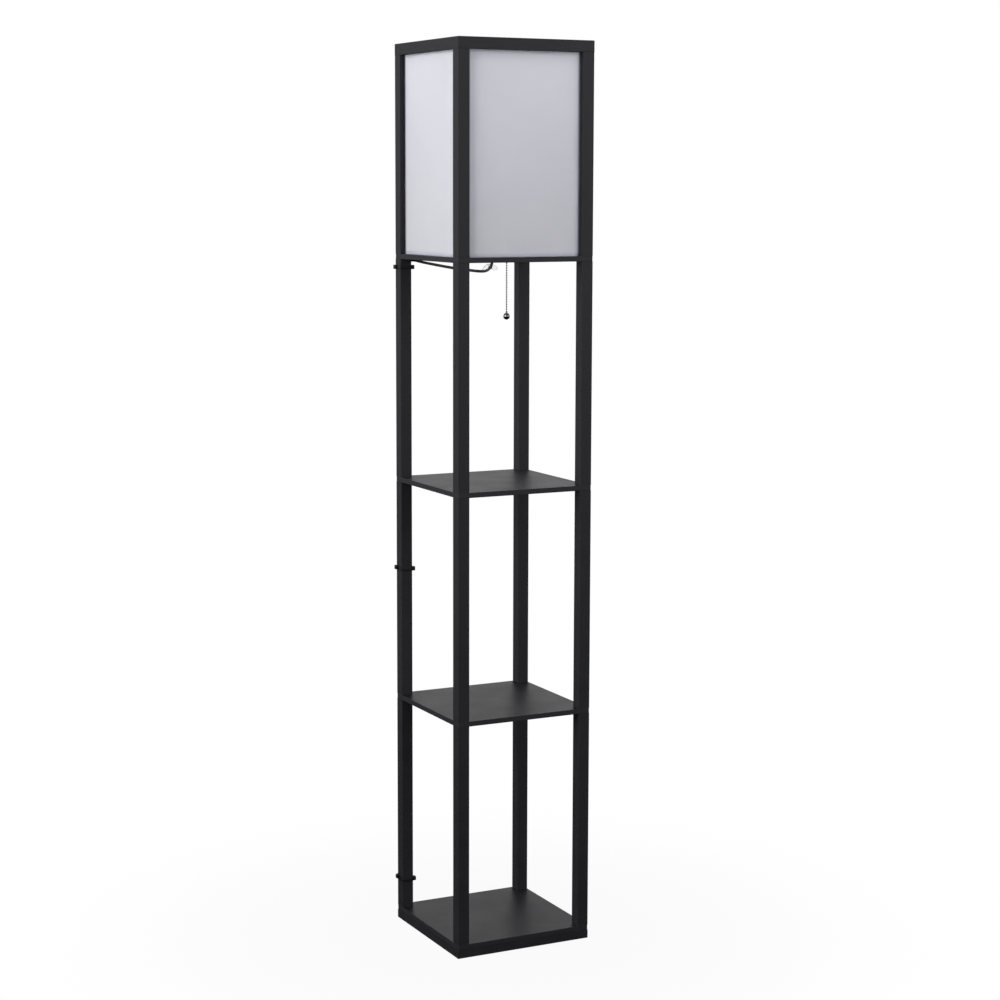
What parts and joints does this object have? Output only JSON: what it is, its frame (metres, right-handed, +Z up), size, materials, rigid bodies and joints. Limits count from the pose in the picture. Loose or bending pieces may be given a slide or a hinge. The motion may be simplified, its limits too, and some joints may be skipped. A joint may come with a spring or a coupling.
{
  "type": "shelf floor lamp",
  "caption": "Tall square floor lamp: open shelf tiers on black posts under a pale panelled shade, with a pull-chain switch on the lamp holder and a mains cord down one post.",
  "frame": {"origin": "middle of the square footprint, on the floor", "axes": "+Z up; the front looks along -Y; +X to the right when seen from the front"},
  "size_m": [0.2647, 0.2955, 1.6],
  "materials": {
    "black_lacquer": "black satin lacquer on wood",
    "black_board": "black satin faced board",
    "shade_sheet": "pale translucent sheet, smooth",
    "floor_pad": "matt",
    "zinc_steel": "zinc plated",
    "insert_brass": "plain turned",
    "beech_dowel": "plain fluted beech",
    "black_moulding": "black moulded, fine satin",
    "switch_moulding": "brown moulded insulation",
    "sleeve_metal": "pressed sheet",
    "contact_brass": "pressed sheet",
    "chain_metal": "nickel plated, bright",
    "bulb_glass": "frosted white",
    "bulb_cap_metal": "rolled thread",
    "lead_plastic": "insulated wire",
    "cord_black": "smooth round cord",
    "tie_black": "moulded",
    "plug_black": "moulded, fine satin",
    "plug_pin_metal": "nickel plated"
  },
  "bodies": {
    "lamp_body": {"base_board": "black_board", "base_rails_long": "black_lacquer", "base_rails_short": "black_lacquer", "base_pads": "floor_pad", "base_bolts": "zinc_steel", "lower_post_front_left": "black_lacquer", "lower_post_front_right": "black_lacquer", "lower_post_back_left": "black_lacquer", "lower_post_back_right": "black_lacquer", "lower_shelf": "black_board", "middle_post_front_left": "black_lacquer", "middle_post_front_right": "black_lacquer", "middle_post_back_left": "black_lacquer", "middle_post_back_right": "black_lacquer", "upper_shelf": "black_board", "upper_post_front_left": "black_lacquer", "upper_post_front_right": "black_lacquer", "upper_post_back_left": "black_lacquer", "upper_post_back_right": "black_lacquer", "shade_frame": "black_board", "crossbar": "black_lacquer", "shade_post_front_left": "black_lacquer", "shade_post_front_right": "black_lacquer", "shade_post_back_left": "black_lacquer", "shade_post_back_right": "black_lacquer", "panel_front": "shade_sheet", "panel_back": "shade_sheet", "panel_left": "shade_sheet", "panel_right": "shade_sheet", "top_rail_front": "black_lacquer", "top_rail_back": "black_lacquer", "top_rail_left": "black_lacquer", "top_rail_right": "black_lacquer", "post_inserts": "insert_brass", "joining_studs": "zinc_steel", "top_dowels": "beech_dowel", "holder_cap": "black_moulding", "holder_shell": "black_moulding", "switch_block": "switch_moulding", "threaded_sleeve": "sleeve_metal", "centre_contact": "contact_brass", "threaded_tube": "zinc_steel", "tube_nuts": "zinc_steel", "cord_bushing": "black_moulding", "inner_leads": "lead_plastic", "lever_cover": "black_moulding", "lever_spring": "zinc_steel", "switch_pins": "zinc_steel", "cord": "cord_black", "cord_hank": "cord_black", "cord_ties": "tie_black", "plug_body": "plug_black", "plug_pins": "plug_pin_metal"},
    "pull_stem": {"chain_stem": "chain_metal"},
    "chain": {"hanging_chain": "chain_metal", "chain_ball": "chain_metal"},
    "lever": {"pull_lever": "contact_brass"},
    "wheel": {"switch_wheel": "switch_moulding"},
    "bulb": {"bulb_cap": "bulb_cap_metal", "bulb_glass": "bulb_glass"}
  },
  "joints": [
    {"name": "chain_pull", "type": "slide", "parent": "lamp_body", "child": "pull_stem", "axis": [0, 0, -1], "range_m": [0, 0.0081], "stiffness_N_per_m": 300, "springref_m": -0.012},
    {"name": "chain_swing", "type": "hinge", "parent": "pull_stem", "child": "chain", "pos_m": [0.0275, 0, 1.24205], "axis": [1, 0, 0], "range_deg": [-20, 20]},
    {"name": "lever_turn", "type": "hinge", "parent": "lamp_body", "child": "lever", "pos_m": [0.009, 0, 1.258], "axis": [0, 1, 0], "range_deg": [0, 25.1], "deforming": ["lever_spring"]},
    {"name": "wheel_turn", "type": "hinge", "parent": "lamp_body", "child": "wheel", "pos_m": [-0.005, 0, 1.258], "axis": [0, 1, 0], "range_deg": [-45.1, 0]},
    {"name": "bulb_lift", "type": "slide", "parent": "lamp_body", "child": "bulb", "axis": [0, 0, 1], "range_m": [0, 0.335]}
  ],
  "couplings": [
    {"joint": "lever_turn", "follows": "chain_pull", "rad_per_m": 53.87},
    {"joint": "wheel_turn", "follows": "chain_pull", "rad_per_m": -96.96}
  ]
}
